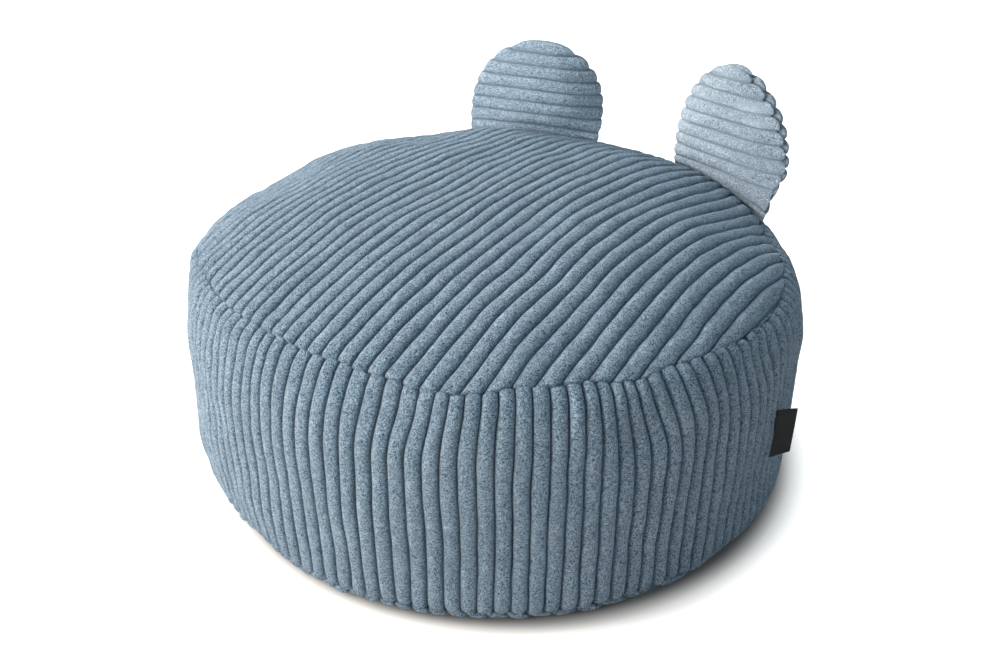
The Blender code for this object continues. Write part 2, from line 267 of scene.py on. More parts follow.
def top_seam(azimuth):
    """Radius and height of the seam between the top panel and the band."""
    out = seam_out(azimuth)
    uneven = 0.0006 * ripple(on_circle(azimuth, SEAM_RADIUS, 0.0), 0.022, 13)
    return SEAM_RADIUS + out, SEAM_HEIGHT - SEAM_DROP_PER_OUT * out - seam_sink(azimuth) + uneven


def rib_share(u, distance, tip, flatness=RIB_FLATNESS):
    """A rib's height as a share of its full crest, with a blunt round tip at a seam."""
    short = 1.0 - np.clip((distance + RIB_CUT) / tip, 0.0, 1.0)
    return np.maximum(rib_height(u, flatness) ** RIB_BLUNT - short**RIB_BLUNT, 0.0) ** (1.0 / RIB_BLUNT)


def pile_lift_and_crease_shade(u, distance, flatness=RIB_FLATNESS):
    """How far the pile stands up out of the valleys; it also sets the painted shade that darkens the valleys
    and, a little, the seams.
    """
    return rib_height(u, flatness) * (0.80 + 0.20 * smoothstep(distance / 0.0020))


def rib_flank(u):
    """1 on the rib's first flank, -1 on its second, 0 in the valley and on the crest."""
    return np.sin(2 * math.pi * u)


def rib_relief(share, plump):
    """How far a rib stands off the smooth surface."""
    return RIB_RISE - RIB_RELIEF + RIB_RELIEF * share * plump


def fade(distance, reach):
    """1 at no distance, dying out over the reach."""
    return np.exp(-((distance / reach) ** 2))


def seam_groove(distance):
    """How far the cloth lies below (or, beside the groove, above) its smooth surface near a seam."""
    pulled = SEAM_PULL * fade(distance, SEAM_PULL_REACH)
    return pulled - SEAM_PUFF * fade(distance - SEAM_PUFF_AT, SEAM_PUFF_WIDTH)


def evenly(count, crowding):
    """Shares from 0 to 1; the more crowding, the closer together they are near both ends."""
    steps = np.linspace(0, 1, count)
    return (1 - crowding) * steps + crowding * (0.5 - 0.5 * np.cos(math.pi * steps))


def grid_normals(points, wrap):
    """Unit normals of a grid of points; wrap says that its columns close on themselves."""
    down = np.gradient(points, axis=0)
    if wrap:
        along = (np.roll(points, -1, axis=1) - np.roll(points, 1, axis=1)) / 2.0
    else:
        along = np.gradient(points, axis=1)
    normal = np.cross(along, down)
    length = np.linalg.norm(normal, axis=-1, keepdims=True)
    return normal / np.maximum(length, 1e-12)


# -------------------------------- making pieces


def add_object(name, data):
    made = bpy.data.objects.new(name, data)
    bpy.context.scene.collection.objects.link(made)
    return made


def make_piece(name, vertices, faces, lift_and_crease_shade, flank, material, pressed_highlight=None):
    """Adds one mesh piece that stands for the CAD node of the same name.

    The lift is 0 in a valley and 1 on a crest, and also sets the painted shade in the valleys and at the
    seams;
    the flank is 1 on a rib's first flank and -1 on its second; the last value is 1 where the pile is pressed
    flat and a pale highlight is painted.
    """
    mesh = bpy.data.meshes.new(name)
    mesh.from_pydata(vertices.tolist(), [], faces)
    mesh.validate()
    for key, values in (("lift_and_crease_shade", lift_and_crease_shade), ("flank", flank), ("pressed_highlight", 0 * lift_and_crease_shade if pressed_highlight is None else pressed_highlight)):
        attribute = mesh.attributes.new(key, "FLOAT", "POINT")
        attribute.data.foreach_set("value", np.asarray(values, dtype=np.float32))
    mesh.shade_smooth()
    mesh.materials.append(material)
    piece = add_object(f"{name}_cloth", mesh)
    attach(piece, "root")
    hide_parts(name)
    return piece


def grid_faces(rows, columns, wrap):
    """Quads over a grid of rows by columns vertices; wrap says that its columns close on themselves."""
    faces = []
    span = columns if wrap else columns - 1
    for base in range(0, (rows - 1) * columns, columns):
        for column in range(span):
            right = (column + 1) % columns
            faces.append((base + column, base + right, base + columns + right, base + columns + column))
    return faces


def grid_border(rows, columns):
    """The outer loop of a grid's vertices."""
    border = list(range(columns))
    border += [row * columns + columns - 1 for row in range(1, rows)]
    border += [(rows - 1) * columns + column for column in range(columns - 2, -1, -1)]
    border += [row * columns for row in range(rows - 2, 0, -1)]
    return border


def turned_edge(points, inward, upward):
    """A cut edge, turned in towards the upright through the middle of the stool."""
    radial = points * (1, 1, 0)
    radial /= np.linalg.norm(radial, axis=1, keepdims=True)
    return points - radial * inward + (0, 0, upward)


# -------------------------------- materials


class Nodes:
    """A short way to write a node tree."""

    def __init__(self, name):
        self.material = bpy.data.materials.new(name)
        self.material.use_nodes = True
        self.tree = self.material.node_tree
        self.shader = self.tree.nodes["Principled BSDF"]

    def add(self, kind, **values):
        node = self.tree.nodes.new(kind)
        for key, value in values.items():
            if hasattr(node, key):
                setattr(node, key, value)
            else:
                node.inputs[key.replace("_", " ").title()].default_value = value
        return node

    def link(self, output, socket):
        self.tree.links.new(output, socket)

    def math(self, operation, a, b=None, clamp=False):
        node = self.add("ShaderNodeMath", operation=operation, use_clamp=clamp)
        for socket, value in zip(node.inputs, (a, b)):
            if value is None:
                continue
            if isinstance(value, (int, float)):
                socket.default_value = value
            else:
                self.link(value, socket)
        return node.outputs[0]

    def ramp(self, factor, stops):
        node = self.tree.nodes.new("ShaderNodeValToRGB")
        elements = node.color_ramp.elements
        while len(elements) < len(stops):
            elements.new(0.5)
        for element, (position, colour) in zip(elements, stops):
            element.position = position
            element.color = (*colour, 1.0)
        self.link(factor, node.inputs["Fac"])
        return node.outputs["Color"]

    def mix(self, factor, a, b):
        node = self.add("ShaderNodeMix", data_type="RGBA")
        for socket, value in ((node.inputs["Factor"], factor), (node.inputs[6], a), (node.inputs[7], b)):
            if isinstance(value, tuple):
                socket.default_value = (*value, 1.0)
            elif isinstance(value, (int, float)):
                socket.default_value = value
            else:
                self.link(value, socket)
        return node.outputs[2]

    def place(self):
        return self.add("ShaderNodeTexCoord").outputs["Object"]

    def noise(self, **values):
        node = self.add("ShaderNodeTexNoise", **values)
        self.link(self.place(), node.inputs["Vector"])
        return node.outputs["Fac"]

    def attribute(self, name):
        return self.add("ShaderNodeAttribute", attribute_name=name).outputs["Fac"]

    def bump(self, height, strength, distance):
        node = self.add("ShaderNodeBump", strength=strength, distance=distance)
        self.link(height, node.inputs["Height"])
        self.link(node.outputs["Normal"], self.shader.inputs["Normal"])

    def outwards(self, near, far, most=1.0):
        """Rises from 0 to the most between two distances from the middle of the object."""
        length = self.add("ShaderNodeVectorMath", operation="LENGTH")
        self.link(self.place(), length.inputs[0])
        limits = {"from_min": near, "from_max": far, "to_max": most}
        reach = self.add("ShaderNodeMapRange", interpolation_type="SMOOTHSTEP", **limits)
        self.link(length.outputs["Value"], reach.inputs["Value"])
        return reach.outputs["Result"]

    def done(self, **values):
        """Sets the shader's own sockets."""
        for key, value in values.items():
            self.shader.inputs[key.replace("_", " ").title().replace("Ior", "IOR")].default_value = value
        return self.material


BODY_NAP = 1.16  # how light the body's pile is, against the colours below
PILE_DARK = (0.041, 0.095, 0.160)  # between the tufts
PILE_MIDDLE = (0.122, 0.219, 0.324)
PILE_LIGHT = (0.410, 0.550, 0.672)  # the tufts' tips
# painted shade: the colour of the valleys and seams, standing in for the pile's own shadow in them
VALLEY_SHADE = (0.059, 0.129, 0.208)
SHEEN_PALE = (0.355, 0.410, 0.458)  # painted sheen: the greyer blue that pile leaning towards the light shows
SHEEN_PALE_SHARES = (0.70, 1.05, 2.1, 1.10)  # of it in the four colours above, at full painted sheen
TUFTS_PER_METRE = 880.0
PALE_TUFTS_FINER = 0.3
CURLS_PER_METRE = 500.0
CURL_SHARPNESS = 7.0
TUFT_DEPTH, CURL_DEPTH, PILE_MEAN = 2.20, 1.25, 1.67
BRUSH_MARKS_PER_METRE, BRUSH_MARK_DEPTH = 30.0, 0.12


def corduroy(name, nap_and_painted_light, painted_sheen=0.0):
    """Cut plush pile: curly tufts that catch the light on the crests, combed flat down one flank; the valleys
    take painted shade, and the pile can take a painted sheen.
    """
    n = Nodes(name)
    # the nap lightens the colours, and the painted sheen mixes them towards the pale sheen blue
    dark, middle, light, valley = (
        tuple(nap_and_painted_light * c + (p * share - nap_and_painted_light * c) * painted_sheen for c, p in zip(colour, SHEEN_PALE))
        for colour, share in zip((PILE_DARK, PILE_MIDDLE, PILE_LIGHT, VALLEY_SHADE), SHEEN_PALE_SHARES)
    )
    scale = TUFTS_PER_METRE * (1 + PALE_TUFTS_FINER * painted_sheen)
    tufts = n.noise(scale=scale, detail=1.5, roughness=0.6, distortion=0.5)
    curls = n.noise(scale=CURLS_PER_METRE, detail=1.0, roughness=0.5, distortion=2.2)
    brushed = n.noise(scale=BRUSH_MARKS_PER_METRE, detail=3.0, roughness=0.55)
    # a curl is a thin ridge where its noise crosses the middle value
    off_curl = n.math("ABSOLUTE", n.math("SUBTRACT", curls, 0.5))
    ridge = n.math("SUBTRACT", 1.0, n.math("MULTIPLY", off_curl, CURL_SHARPNESS), clamp=True)
    pile = n.math("ADD", n.math("MULTIPLY", tufts, TUFT_DEPTH), n.math("MULTIPLY", ridge, CURL_DEPTH))
    grain = n.math("SUBTRACT", pile, PILE_MEAN)
    # the second flank's pile lies flat and shows less grain; the first flank faces the key lights, so its
    # lighter grain is also painted light, and the second flank's smoother, darker pile is painted shade
    lift_and_crease_shade = n.attribute("lift_and_crease_shade")
    upright = n.math("ADD", n.math("MULTIPLY", n.attribute("flank"), 0.55), 0.85, clamp=True)
    crest = n.math("MULTIPLY", n.math("MULTIPLY", lift_and_crease_shade, lift_and_crease_shade), upright)
    shown = n.math("MULTIPLY", grain, n.math("ADD", n.math("MULTIPLY", crest, 0.85), 0.15))
    patch = n.math("MULTIPLY", n.math("SUBTRACT", brushed, 0.5), BRUSH_MARK_DEPTH)
    shade = n.math("ADD", n.math("ADD", shown, patch), 0.5)
    cloth = n.ramp(shade, ((0.32, dark), (0.49, middle), (0.66, light)))
    # painted shade: the valley colour is mixed in where the pile sinks into the valleys and, a little, at the
    # seams
    deep = n.ramp(lift_and_crease_shade, ((0.0, (0, 0, 0)), (0.50, (0.62,) * 3), (0.92, (1, 1, 1))))
    # painted highlight: the colour goes halfway to the tufts' tips where the pile is pressed flat
    pressed_highlight = n.math("MULTIPLY", n.attribute("pressed_highlight"), 0.5)
    n.link(n.mix(pressed_highlight, n.mix(deep, valley, cloth), light), n.shader.inputs["Base Color"])
    n.bump(n.math("MULTIPLY", pile, n.math("ADD", n.math("MULTIPLY", crest, 0.6), 0.4)), 0.9, 0.0014)
    sheen = {"sheen_weight": 0.32, "sheen_roughness": 0.45, "sheen_tint": (0.95, 0.98, 1.0, 1.0)}
    return n.done(roughness=0.95, specular_ior_level=0.12, **sheen)


WARP_PITCH, WEFT_PITCH = 0.0007, 0.0006
TAPE_DARK, TAPE_LIGHT = 0.014, 0.070


def woven_tape():
    """Plain black woven tape."""
    n = Nodes("black_woven_tape")
    split = n.add("ShaderNodeSeparateXYZ")
    n.link(n.place(), split.inputs[0])
    warp = n.math("SINE", n.math("MULTIPLY", split.outputs["X"], 2 * math.pi / WARP_PITCH))
    weft = n.math("SINE", n.math("MULTIPLY", split.outputs["Z"], 2 * math.pi / WEFT_PITCH))
    weave = n.math("MULTIPLY", warp, weft)
    shade = n.ramp(n.math("MULTIPLY_ADD", weave, 0.5), ((0.0, (TAPE_DARK,) * 3), (1.0, (TAPE_LIGHT,) * 3)))
    n.link(shade, n.shader.inputs["Base Color"])
    n.bump(weave, 0.5, 0.0002)
    return n.done(roughness=0.62)


BODY_CLOTH = corduroy("corduroy_pile", BODY_NAP)
TAPE = woven_tape()

# -------------------------------- side band

# crest line of the side from the base seam to the top seam: radius, height
SIDE_LINE = np.array(
    [
        (BASE_SEAM_RADIUS, 0.0078),
        (0.2550, 0.0092),
        (0.2572, 0.0130),
        (0.2582, 0.0220),
        (0.2587, 0.0450),
        (0.2589, 0.0900),
        (0.2585, 0.1200),
        (0.2573, 0.1430),
        (0.2548, 0.1620),
        (0.2508, 0.1760),
        (0.2458, 0.1848),
        (SEAM_RADIUS, SEAM_HEIGHT),
    ]
)


def smooth_line(points, step=0.0005, blur=0.003):
    """Resamples a polyline evenly along its length and rounds its corners, keeping both ends."""
    lengths = np.concatenate([[0], np.cumsum(np.hypot(*np.diff(points, axis=0).T))])
    along = np.linspace(0, lengths[-1], int(lengths[-1] / step) + 1)
    step = along[1]
    line = np.stack([np.interp(along, lengths, points[:, axis]) for axis in (0, 1)], axis=1)
    half = int(3 * blur / step)
    kernel = np.exp(-0.5 * (np.arange(-half, half + 1) * step / blur) ** 2)
    kernel /= kernel.sum()
    padded = np.concatenate([2 * line[0] - line[half:0:-1], line, 2 * line[-1] - line[-2 : -half - 2 : -1]])
    line = np.stack([np.convolve(padded[:, axis], kernel, mode="valid") for axis in (0, 1)], axis=1)
    return along, line, lengths[-1]


def row_places(length):
    """Distances along the side line: close together at both seams."""
    end = np.array([0, 0.4, 0.9, 1.5, 2.2, 3.1, 4.2, 5.6, 7.6]) / 1000
    top_end = np.array([0, 0.35, 0.8, 1.3, 1.9, 2.6, 3.5, 4.6, 6.0, 7.8, 10.0, 12.6, 15.6]) / 1000
    middle = np.linspace(end[-1], length - top_end[-1], 48)[1:-1]
    return np.concatenate([end, middle, (length - top_end)[::-1]])


def side_band():
    along, line, length = smooth_line(SIDE_LINE)
    places = row_places(length)
    ribs = np.arange(RIBS_AROUND)
    across = (ribs[:, None] + RIB_SECTION[None, :]).ravel()
    azimuth0 = CLOSING_SEAM_AZIMUTH + across * 360.0 / RIBS_AROUND
    u = np.tile(RIB_SECTION, RIBS_AROUND)
    below_seam = (length - places)[:, None]
    above_base = places[:, None]
    at_top = smoothstep(1.0 - below_seam / 0.060)
    slide = sway_middle(azimuth0)[None, :] * (1.0 - at_top) + sway_seam(azimuth0)[None, :] * at_top
    ideal = on_circle(azimuth0[None, :] + 0 * above_base, BODY_RADIUS, above_base)
    slide = slide + 0.00035 * ripple(ideal, 0.030, 27) + 0.0006 * ripple(ideal, 0.080, 28)
    azimuth = azimuth0[None, :] + np.degrees(slide / BODY_RADIUS)
    radius = np.interp(places, along, line[:, 0])[:, None] + 0 * azimuth
    height = np.interp(places, along, line[:, 1])[:, None] + 0 * azimuth
    radius = radius + foot_spread(azimuth) * fade(above_base, 0.035)
    follow = np.clip(1.0 - below_seam / 0.062, 0, 1) ** 1.5
    out = seam_out(azimuth) * follow
    _, seam_height = top_seam(azimuth)
    ripple_up = seam_height - (SEAM_HEIGHT - SEAM_DROP_PER_OUT * seam_out(azimuth))
    free = (1 - fade(below_seam, 0.010)) * (1 - fade(above_base, 0.010))
    bulge = np.zeros_like(azimuth)
    for b in SIDE_BULGES:
        turn = (azimuth - b.azimuth + 180.0) % 360.0 - 180.0
        bulge += b.out * fade(turn, b.half_azimuth) * fade(height - b.height, b.half_height)
    smooth = on_circle(azimuth, radius, height)
    lumps = 0.0009 * ripple(smooth, 0.110, 21) + 0.0005 * ripple(smooth, 0.045, 22)
    puckers = 0.0011 * np.exp(-below_seam / 0.022) * ripple(smooth, 0.036, 23)
    gathers = 0.0007 * np.exp(-above_base / 0.014) * ripple(smooth, 0.026, 24)
    radius = radius + out + (bulge + lumps + puckers + gathers) * free
    height = height - SEAM_DROP_PER_OUT * out + ripple_up * follow
    surface = on_circle(azimuth, radius, height)
    normal = grid_normals(surface, wrap=True)
    plump = 1.0 + 0.08 * ripple(surface, 0.050, 25) + 0.05 * ripple(surface, 0.016, 26)
    to_seam = np.minimum(below_seam, above_base)
    share = rib_share(u[None, :], to_seam, RIB_END * (1 + 0.4 * ripple(surface, 0.028, 51)))
    move = rib_relief(share, plump) - seam_groove(below_seam) - 0.6 * seam_groove(above_base)
    behind = smoothstep(0.5 - np.cos(np.radians(azimuth - CAMERA_AZIMUTH)))
    move -= BAND_TUCK * behind * fade(below_seam, 0.0060)
    surface = surface + normal * move[..., None]
    lift_and_crease_shade = pile_lift_and_crease_shade(u[None, :], to_seam)
    return close_ring("side_band", surface, lift_and_crease_shade, rib_flank(u)[None, :] + 0 * lift_and_crease_shade)


def close_ring(name, surface, lift_and_crease_shade, flank):
    """Closes a ribbed ring below and above: the cut edges turn in, and flat cloth spans the middle."""
    rows, columns, _ = surface.shape
    low, high = turned_edge(surface[0], 0.004, 0.004), turned_edge(surface[-1], 0.006, -0.008)
    vertices = np.concatenate([low, surface.reshape(-1, 3), high])
    # the turned-in edges take the full painted valley shade
    edge = np.zeros(columns)
    lift_and_crease_shade, flank = (np.concatenate([edge, values.ravel(), edge]) for values in (lift_and_crease_shade, flank))
    faces = grid_faces(rows + 2, columns, wrap=True)
    faces.append(tuple(range(columns - 1, -1, -1)))
    top_start = (rows + 1) * columns
    faces.append(tuple(range(top_start, top_start + columns)))
    piece = make_piece(name, vertices, faces, lift_and_crease_shade, flank, BODY_CLOTH)
    return piece


# -------------------------------- round panels


def rim_crossing(x, side):
    """The y at which lines of constant x cross the top seam, in front (side -1) or behind (side 1)."""
    y = side * np.sqrt(np.maximum(SEAM_RADIUS**2 - x * x, 0))
    for _ in range(25):
        radius = top_seam(np.degrees(np.arctan2(x, -y)))[0]
        y = 0.5 * y + 0.5 * side * np.sqrt(np.maximum(radius**2 - x * x, 0))
    return y


def top_sway(x, y):
    """How far the top's ribs run aside at a place."""
    aside = np.zeros_like(y)
    for s in TOP_SWAY:
        aside = aside + s.aside / 1000.0 * np.exp(-((x - s.x) ** 2 + (y - s.y) ** 2) / (2 * s.radius**2))
    plan = np.stack([x + 0 * y, y + 0 * x, 0 * (x + y)], axis=-1)
    aside = aside + 0.00028 * ripple(plan, 0.032, 36) + 0.0005 * ripple(plan, 0.085, 37)
    return aside * smoothstep((0.236 - np.abs(x)) / 0.02)


TOP_END = 0.0045  # at its far left and right the top has these lines instead of the ribs' own
TOP_END_LINES = np.array([0.00012, 0.0005, 0.0012, 0.0022, 0.0034])


def top_panel():
    low = -float(top_seam(270.0)[0])
    high = float(top_seam(90.0)[0])
    ribs = np.arange(-25, 26)
    lines = (TOP_CREST_X + (ribs[:, None] - 0.5 + RIB_SECTION[None, :]) * TOP_PITCH).ravel()
    u = np.tile(RIB_SECTION, len(ribs))
    keep = (lines > low + TOP_END) & (lines < high - TOP_END)
    left, right = low + TOP_END_LINES, (high - TOP_END_LINES)[::-1]
    left_u, right_u = (((x - TOP_CREST_X) / TOP_PITCH + 0.5) % 1.0 for x in (left, right))
    lines = np.concatenate([left, lines[keep], right])
    u = np.concatenate([left_u, u[keep], right_u])
    share = evenly(count=172, crowding=0.8)
    x0 = lines[None, :] + 0 * share[:, None]
    front, back = rim_crossing(lines, -1), rim_crossing(lines, 1)
    for _ in range(3):
        front = rim_crossing(lines + top_sway(lines, front), -1)
        back = rim_crossing(lines + top_sway(lines, back), 1)
    y = front[None, :] + (back - front)[None, :] * share[:, None]
    x = x0 + top_sway(x0, y)
    azimuth = np.degrees(np.arctan2(x, -y))
    rim_radius, rim_height = top_seam(azimuth)
    q = np.clip(np.hypot(x, y) / rim_radius, 0, 1)
    inside = (1 - q) * rim_radius
    sink = seam_sink(azimuth)
    height = SEAM_HEIGHT + (rim_height + sink - SEAM_HEIGHT) * q**8 - sink * q**5
    height += CROWN_HEIGHT * (1 - q**CROWN_POWER)
    plan = np.stack([x, y, 0 * x], axis=-1)
    free = 1 - fade(inside, 0.012)
    for lump in CROWN_LUMPS:
        height += lump.up * free * np.exp(-((x - lump.x) ** 2 + (y - lump.y) ** 2) / lump.radius**2)
    height += free * (0.0010 * ripple(plan, 0.120, 31) + 0.0004 * ripple(plan, 0.050, 32))
    height += 0.0011 * np.exp(-inside / 0.020) * free * ripple(plan, 0.034, 33)
    surface = np.stack([x, y, height], axis=-1)
    normal = grid_normals(surface, wrap=False)
    normal *= np.where(normal[..., 2:3] < 0, -1, 1)
    plump = 1.0 + 0.08 * ripple(surface, 0.055, 34) + 0.05 * ripple(surface, 0.017, 35)
    share = rib_share(u[None, :], inside, RIB_END * (1 + 0.4 * ripple(surface, 0.028, 52)))
    move = rib_relief(share, plump) - seam_groove(inside)
    surface = surface + normal * move[..., None]
    return round_piece("top_panel", surface, u, inside, upward=-0.006)


def round_piece(name, surface, u, inside, upward):
    """Closes a ribbed disc: its cut edge turns in, and flat cloth spans the back."""
    lift_and_crease_shade = pile_lift_and_crease_shade(u[None, :], inside)
    flank = rib_flank(u)[None, :] + 0 * lift_and_crease_shade
    rows, columns, _ = surface.shape
    grid = surface.reshape(-1, 3)
    faces = grid_faces(rows, columns, wrap=False)
    rim = grid_border(rows, columns)
    start, count = len(grid), len(rim)
    vertices = np.concatenate([grid, turned_edge(grid[rim], 0.002, upward)])
    for i in range(count):
        j = (i + 1) % count
        faces.append((rim[i], start + i, start + j, rim[j]))
    faces.append(tuple(start + i for i in range(count - 1, -1, -1)))
    if upward > 0:
        faces = [face[::-1] for face in faces]
    # the turned-in edge takes the full painted valley shade
    lift_and_crease_shade, flank = (np.concatenate([values.ravel(), np.zeros(count)]) for values in (lift_and_crease_shade, flank))
    piece = make_piece(name, vertices, faces, lift_and_crease_shade, flank, BODY_CLOTH)
    return piece


# the base from its seam with the band, over its rolled edge, to where it lies flat: radius, height
BASE_LINE = np.array(
    [(0.2512, 0.0074), (0.2536, 0.0062), (0.2540, 0.0040), (0.2512, 0.0020), (0.2440, 0.0013)]
)
BASE_RELIEF = 0.0030
BASE_RIM = 0.25


def base_panel():
    along, line, length = smooth_line(BASE_LINE, blur=0.0008)
    whole = length + BASE_LINE[-1, 0]
    ribs = np.arange(-22, 23)
    lines = ((ribs[:, None] - 0.35 + RIB_SECTION[None, :]) * TOP_PITCH).ravel()
    u = np.tile(RIB_SECTION, len(ribs))
    keep = np.abs(lines) < whole - 0.0012
    lines, u = lines[keep], u[keep]
    share = evenly(count=110, crowding=0.85)
    reach = np.sqrt(whole**2 - lines**2)
    x = lines[None, :] + 0 * share[:, None]
    y = -reach[None, :] + 2 * reach[None, :] * share[:, None]
    laid = np.hypot(x, y)
    inside = np.maximum(whole - laid, 0.0)
    rolled = inside < along[-1]
    radius = np.where(rolled, np.interp(inside, along, line[:, 0]), line[-1, 0] - (inside - along[-1]))
    height = np.where(rolled, np.interp(inside, along, line[:, 1]), line[-1, 1])
    azimuth = np.degrees(np.arctan2(x, -y))
    surface = on_circle(azimuth, np.maximum(radius, 0.0), height)
    rim = on_circle(azimuth, BASE_RIM, 0.0)
    wander = 0.0012 * ripple(rim, 0.050, 41) + 0.0006 * ripple(rim, 0.020, 42) + foot_spread(azimuth)
    surface[..., :2] *= (1 + (wander * fade(inside, 0.012) / BASE_RIM))[..., None]
    normal = grid_normals(surface, wrap=False)
    normal *= -np.sign(normal[..., 2].sum())
    move = RIB_RISE - BASE_RELIEF * (1 - rib_share(u[None, :], inside, 0.0020))
    surface = surface + normal * move[..., None]
    surface[..., 2] = np.maximum(surface[..., 2], 0.0)
    return round_piece("base_panel", surface, u, inside, upward=0.004)


# -------------------------------- ears


class Ear(NamedTuple):
    """Where an ear stands on the top seam, its size in metres and how it has settled, angles in degrees."""

    name: str
    azimuth: float
    height: float
    half_width: float
    widest_at: float
    squareness: float  # 2 is an ellipse above the widest place
    taper: float  # how much narrower the foot is, as a share
    inner_puff: float
    outer_puff: float
    lean: float  # outward
    roll: float  # towards greater azimuth
    twist: float  # about the upright
    curl: float  # the tip back over the seat, as a share of the height
    drop: float  # how far the foot sits down in the seam
    rib_tilt: float
    rib_start: float  # the first rib's place below the tip, as a share of a rib
    relief: float  # crest above valley
    turned: float  # how far the edge away from the front turns back
    nap_and_painted_light: float  # the pile of the ears leans the other way; this lighter copy of the pile also paints the extra light that the ears catch
    # painted sheen: how far the ear's pile is mixed to the paler, greyer blue
    painted_sheen: float
    seed: int


EARS = table(
    Ear,
    ("right_ear", 150.5, 0.1158, 0.0705, 0.030, 1.95, 0.00, 0.0160, 0.0250, 4.9, -0.3, -4.9, 0.105,
     0.0050, -3.0, 0.10, 0.0027, 0.016, 1.71, 0.48, 51),
    ("left_ear", 205.0, 0.1008, 0.0686, 0.027, 2.25, 0.08, 0.0160, 0.0190, 2.2, -1.4, 2.3, 0.010,
     0.0009, 3.5, 0.10, 0.0038, 0.030, 2.07, 0.42, 61),
)
OUTER_PANEL_SHADE = 0.80  # painted shade: the outer panels, which face away from the lights, get a darker copy of the inner ones' pile
EAR_FULLEST = 0.45  # of its height
EAR_TAIL = 0.006  # the raw edges go down this far between the top panel and the band
EAR_TAIL_HALF = 0.0011  # and are this thick, a panel
EAR_SCALLOP = 0.0032  # the rim is drawn in between two ribs
EAR_BEAD = 0.0040  # and swells out at each rib's end
EAR_RIM_GAP = 0.00015
EAR_RIB_END = 0.0020
EAR_RIB_RISE = 0.0006
EAR_RELIEF_FROM = 0.0050  # the ribs have their full relief where the ear is this thick or more
EAR_RIB_FLATNESS = 2.3
EAR_STRAIGHT = 0.6  # how far an ear has straightened out of the seam's circle above its foot
EAR_BOW = 0.0028  # the ribs hang this much lower at the rim than in the middle


class PressedHighlight(NamedTuple):
    """A place where the pile is pressed flat and a pale highlight is painted on it, in metres up and across
    its panel.
    """

    piece: str
    across: float
    up: float
    wide: float
    high: float


# painted highlights along a fold of the right ear's inner panel, where its ribs are also lower
PRESSED_HIGHLIGHTS = table(
    PressedHighlight,
    ("right_ear_inner", -0.0330, 0.0885, 0.0130, 0.0042),
    ("right_ear_inner", -0.0390, 0.0770, 0.0120, 0.0036),
)


def ear_half_width(ear, height):
    above = np.clip((height - ear.widest_at) / (ear.height - ear.widest_at), 0, 1)
    below = np.clip((ear.widest_at - height) / ear.widest_at, 0, 1.5)
    top = np.maximum(0.0, 1.0 - above**ear.squareness) ** (1 / ear.squareness)
    return ear.half_width * np.where(height >= ear.widest_at, top, 1.0 - ear.taper * below**2)


def ear_middle(ear, across, height):
    """The sheet halfway between an ear's two panels, and the outward way. Its foot follows the top seam."""
    outward = on_circle(ear.azimuth, 1.0, 0.0)
    along = on_circle(ear.azimuth + 90.0, 1.0, 0.0)
    upright = np.array([0.0, 0.0, 1.0])
    azimuth = ear.azimuth + np.degrees(across / SEAM_RADIUS)
    radius, seam_height = top_seam(azimuth)
    out = seam_wander(azimuth)
    risen = smoothstep((height - ear.drop) / 0.020)  # the small gathers of the seam die out up the ear
    height0 = seam_height + (SEAM_HEIGHT - SEAM_DROP_PER_OUT * out - seam_height) * risen - ear.drop
    points = on_circle(azimuth, radius + (SEAM_RADIUS + out - radius) * risen, height0)
    share = np.clip(height / ear.height, 0, 1)
    twist = math.radians(ear.twist) * np.clip(share / 0.35, 0, 1)
    points += (across * (np.cos(twist) - 1))[..., None] * along
    points += (across * np.sin(twist))[..., None] * outward
    lean, roll = math.radians(ear.lean), math.radians(ear.roll)
    rise = upright * math.cos(lean) + outward * math.sin(lean) + along * math.sin(roll)
    points += np.maximum(height, 0)[..., None] * rise + np.minimum(height, 0)[..., None] * upright
    points -= (ear.curl * share**2 * ear.height)[..., None] * outward
    bend = (across**2 - 0.33 * ear.half_width**2) / (2 * SEAM_RADIUS)
    bend = EAR_STRAIGHT * bend + ear.turned * np.clip(-across / ear.half_width - 0.30, 0, 1) ** 2
    points += (bend * smoothstep((height - ear.drop) / 0.035))[..., None] * outward
    return points, outward


def ear_puff(ear, face, across, height):
    """Thickness from the middle sheet to the smooth face."""
    share = np.clip(np.abs(across) / np.maximum(ear_half_width(ear, height), 1e-5), 0, 1)
    level = np.clip(height / ear.height, 0, 1)
    swell = np.maximum(0.0, 1.0 - share**2.0) ** 0.75
    foot = smoothstep((height - ear.drop + 0.0005) / 0.009)
    low = 0.02 + foot * (0.60 + 0.38 * np.sin(np.clip(level / EAR_FULLEST, 0, 1) * math.pi / 2))
    high = np.sqrt(np.maximum(0, 1 - np.clip((level - EAR_FULLEST) / (1 - EAR_FULLEST), 0, 1) ** 2.4))
    return (ear.outer_puff if face > 0 else ear.inner_puff) * swell * low * high


def ear_lines(ear, face, tilt):
    """Lines along the ribs: each one's level, and its place across a rib.

    The ribs are evenly spaced along the cloth and counted from the tip.
    """
    column = np.linspace(-EAR_TAIL, ear.height, 400)
    depth = ear_puff(ear, face, 0 * column, column)
    run = np.concatenate([[0], np.cumsum(np.hypot(np.diff(column), np.diff(depth)))])
    ribs = np.arange(-2, 14)
    up = run[-1] - (ribs[:, None] + RIB_SECTION[None, :] + ear.rib_start).ravel() * TOP_PITCH
    levels = np.interp(up, run, column) + np.minimum(up, 0) + np.maximum(up - run[-1], 0)
    tip = ear_tip(ear, tilt)
    lowest = column[0] - ear.half_width * abs(math.sin(tilt)) + 0.0008
    rows = [row for row in zip(levels, np.tile(RIB_SECTION, len(ribs))) if lowest <= row[0] <= tip - 0.0015]
    rows += [(tip - short, rows[0][1]) for short in (0.0009, 0.0004, 0.00012)]
    rows.sort()
    return [rows[0]] + [b for a, b in zip(rows, rows[1:]) if b[0] - a[0] > 0.00015]


def ear_piece(ear, face):
    return f"{ear.name}_{'outer' if face > 0 else 'inner'}"


